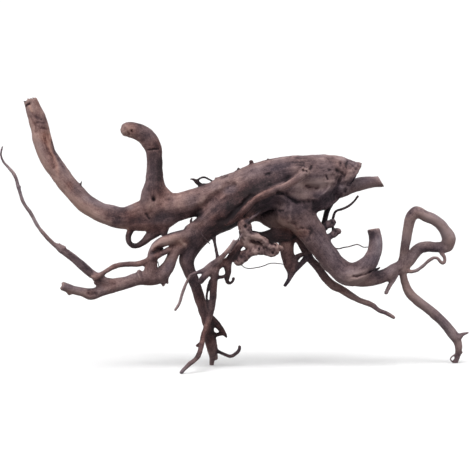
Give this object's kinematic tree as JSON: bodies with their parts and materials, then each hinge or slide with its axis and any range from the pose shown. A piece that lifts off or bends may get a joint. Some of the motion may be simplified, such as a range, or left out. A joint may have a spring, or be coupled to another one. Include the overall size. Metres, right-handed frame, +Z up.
{
  "type": "spiderwood root",
  "caption": "Gnarled grey-brown aquarium root with a thick torn trunk, a raised arm, a curled hook, a looped end and slender roots, standing on the tips of its legs.",
  "frame": {"origin": "on the floor, under the middle of the root's bounding box", "axes": "+X along the root's length to the looped end, +Y from the viewed side to the far side, +Z up"},
  "size_m": [0.4696, 0.1154, 0.2679],
  "materials": {
    "wood": "dry, dull, long-grained grey-brown wood with paler worn ridges"
  },
  "bodies": {
    "root": {"spiderwood_root": "wood"}
  },
  "joints": []
}
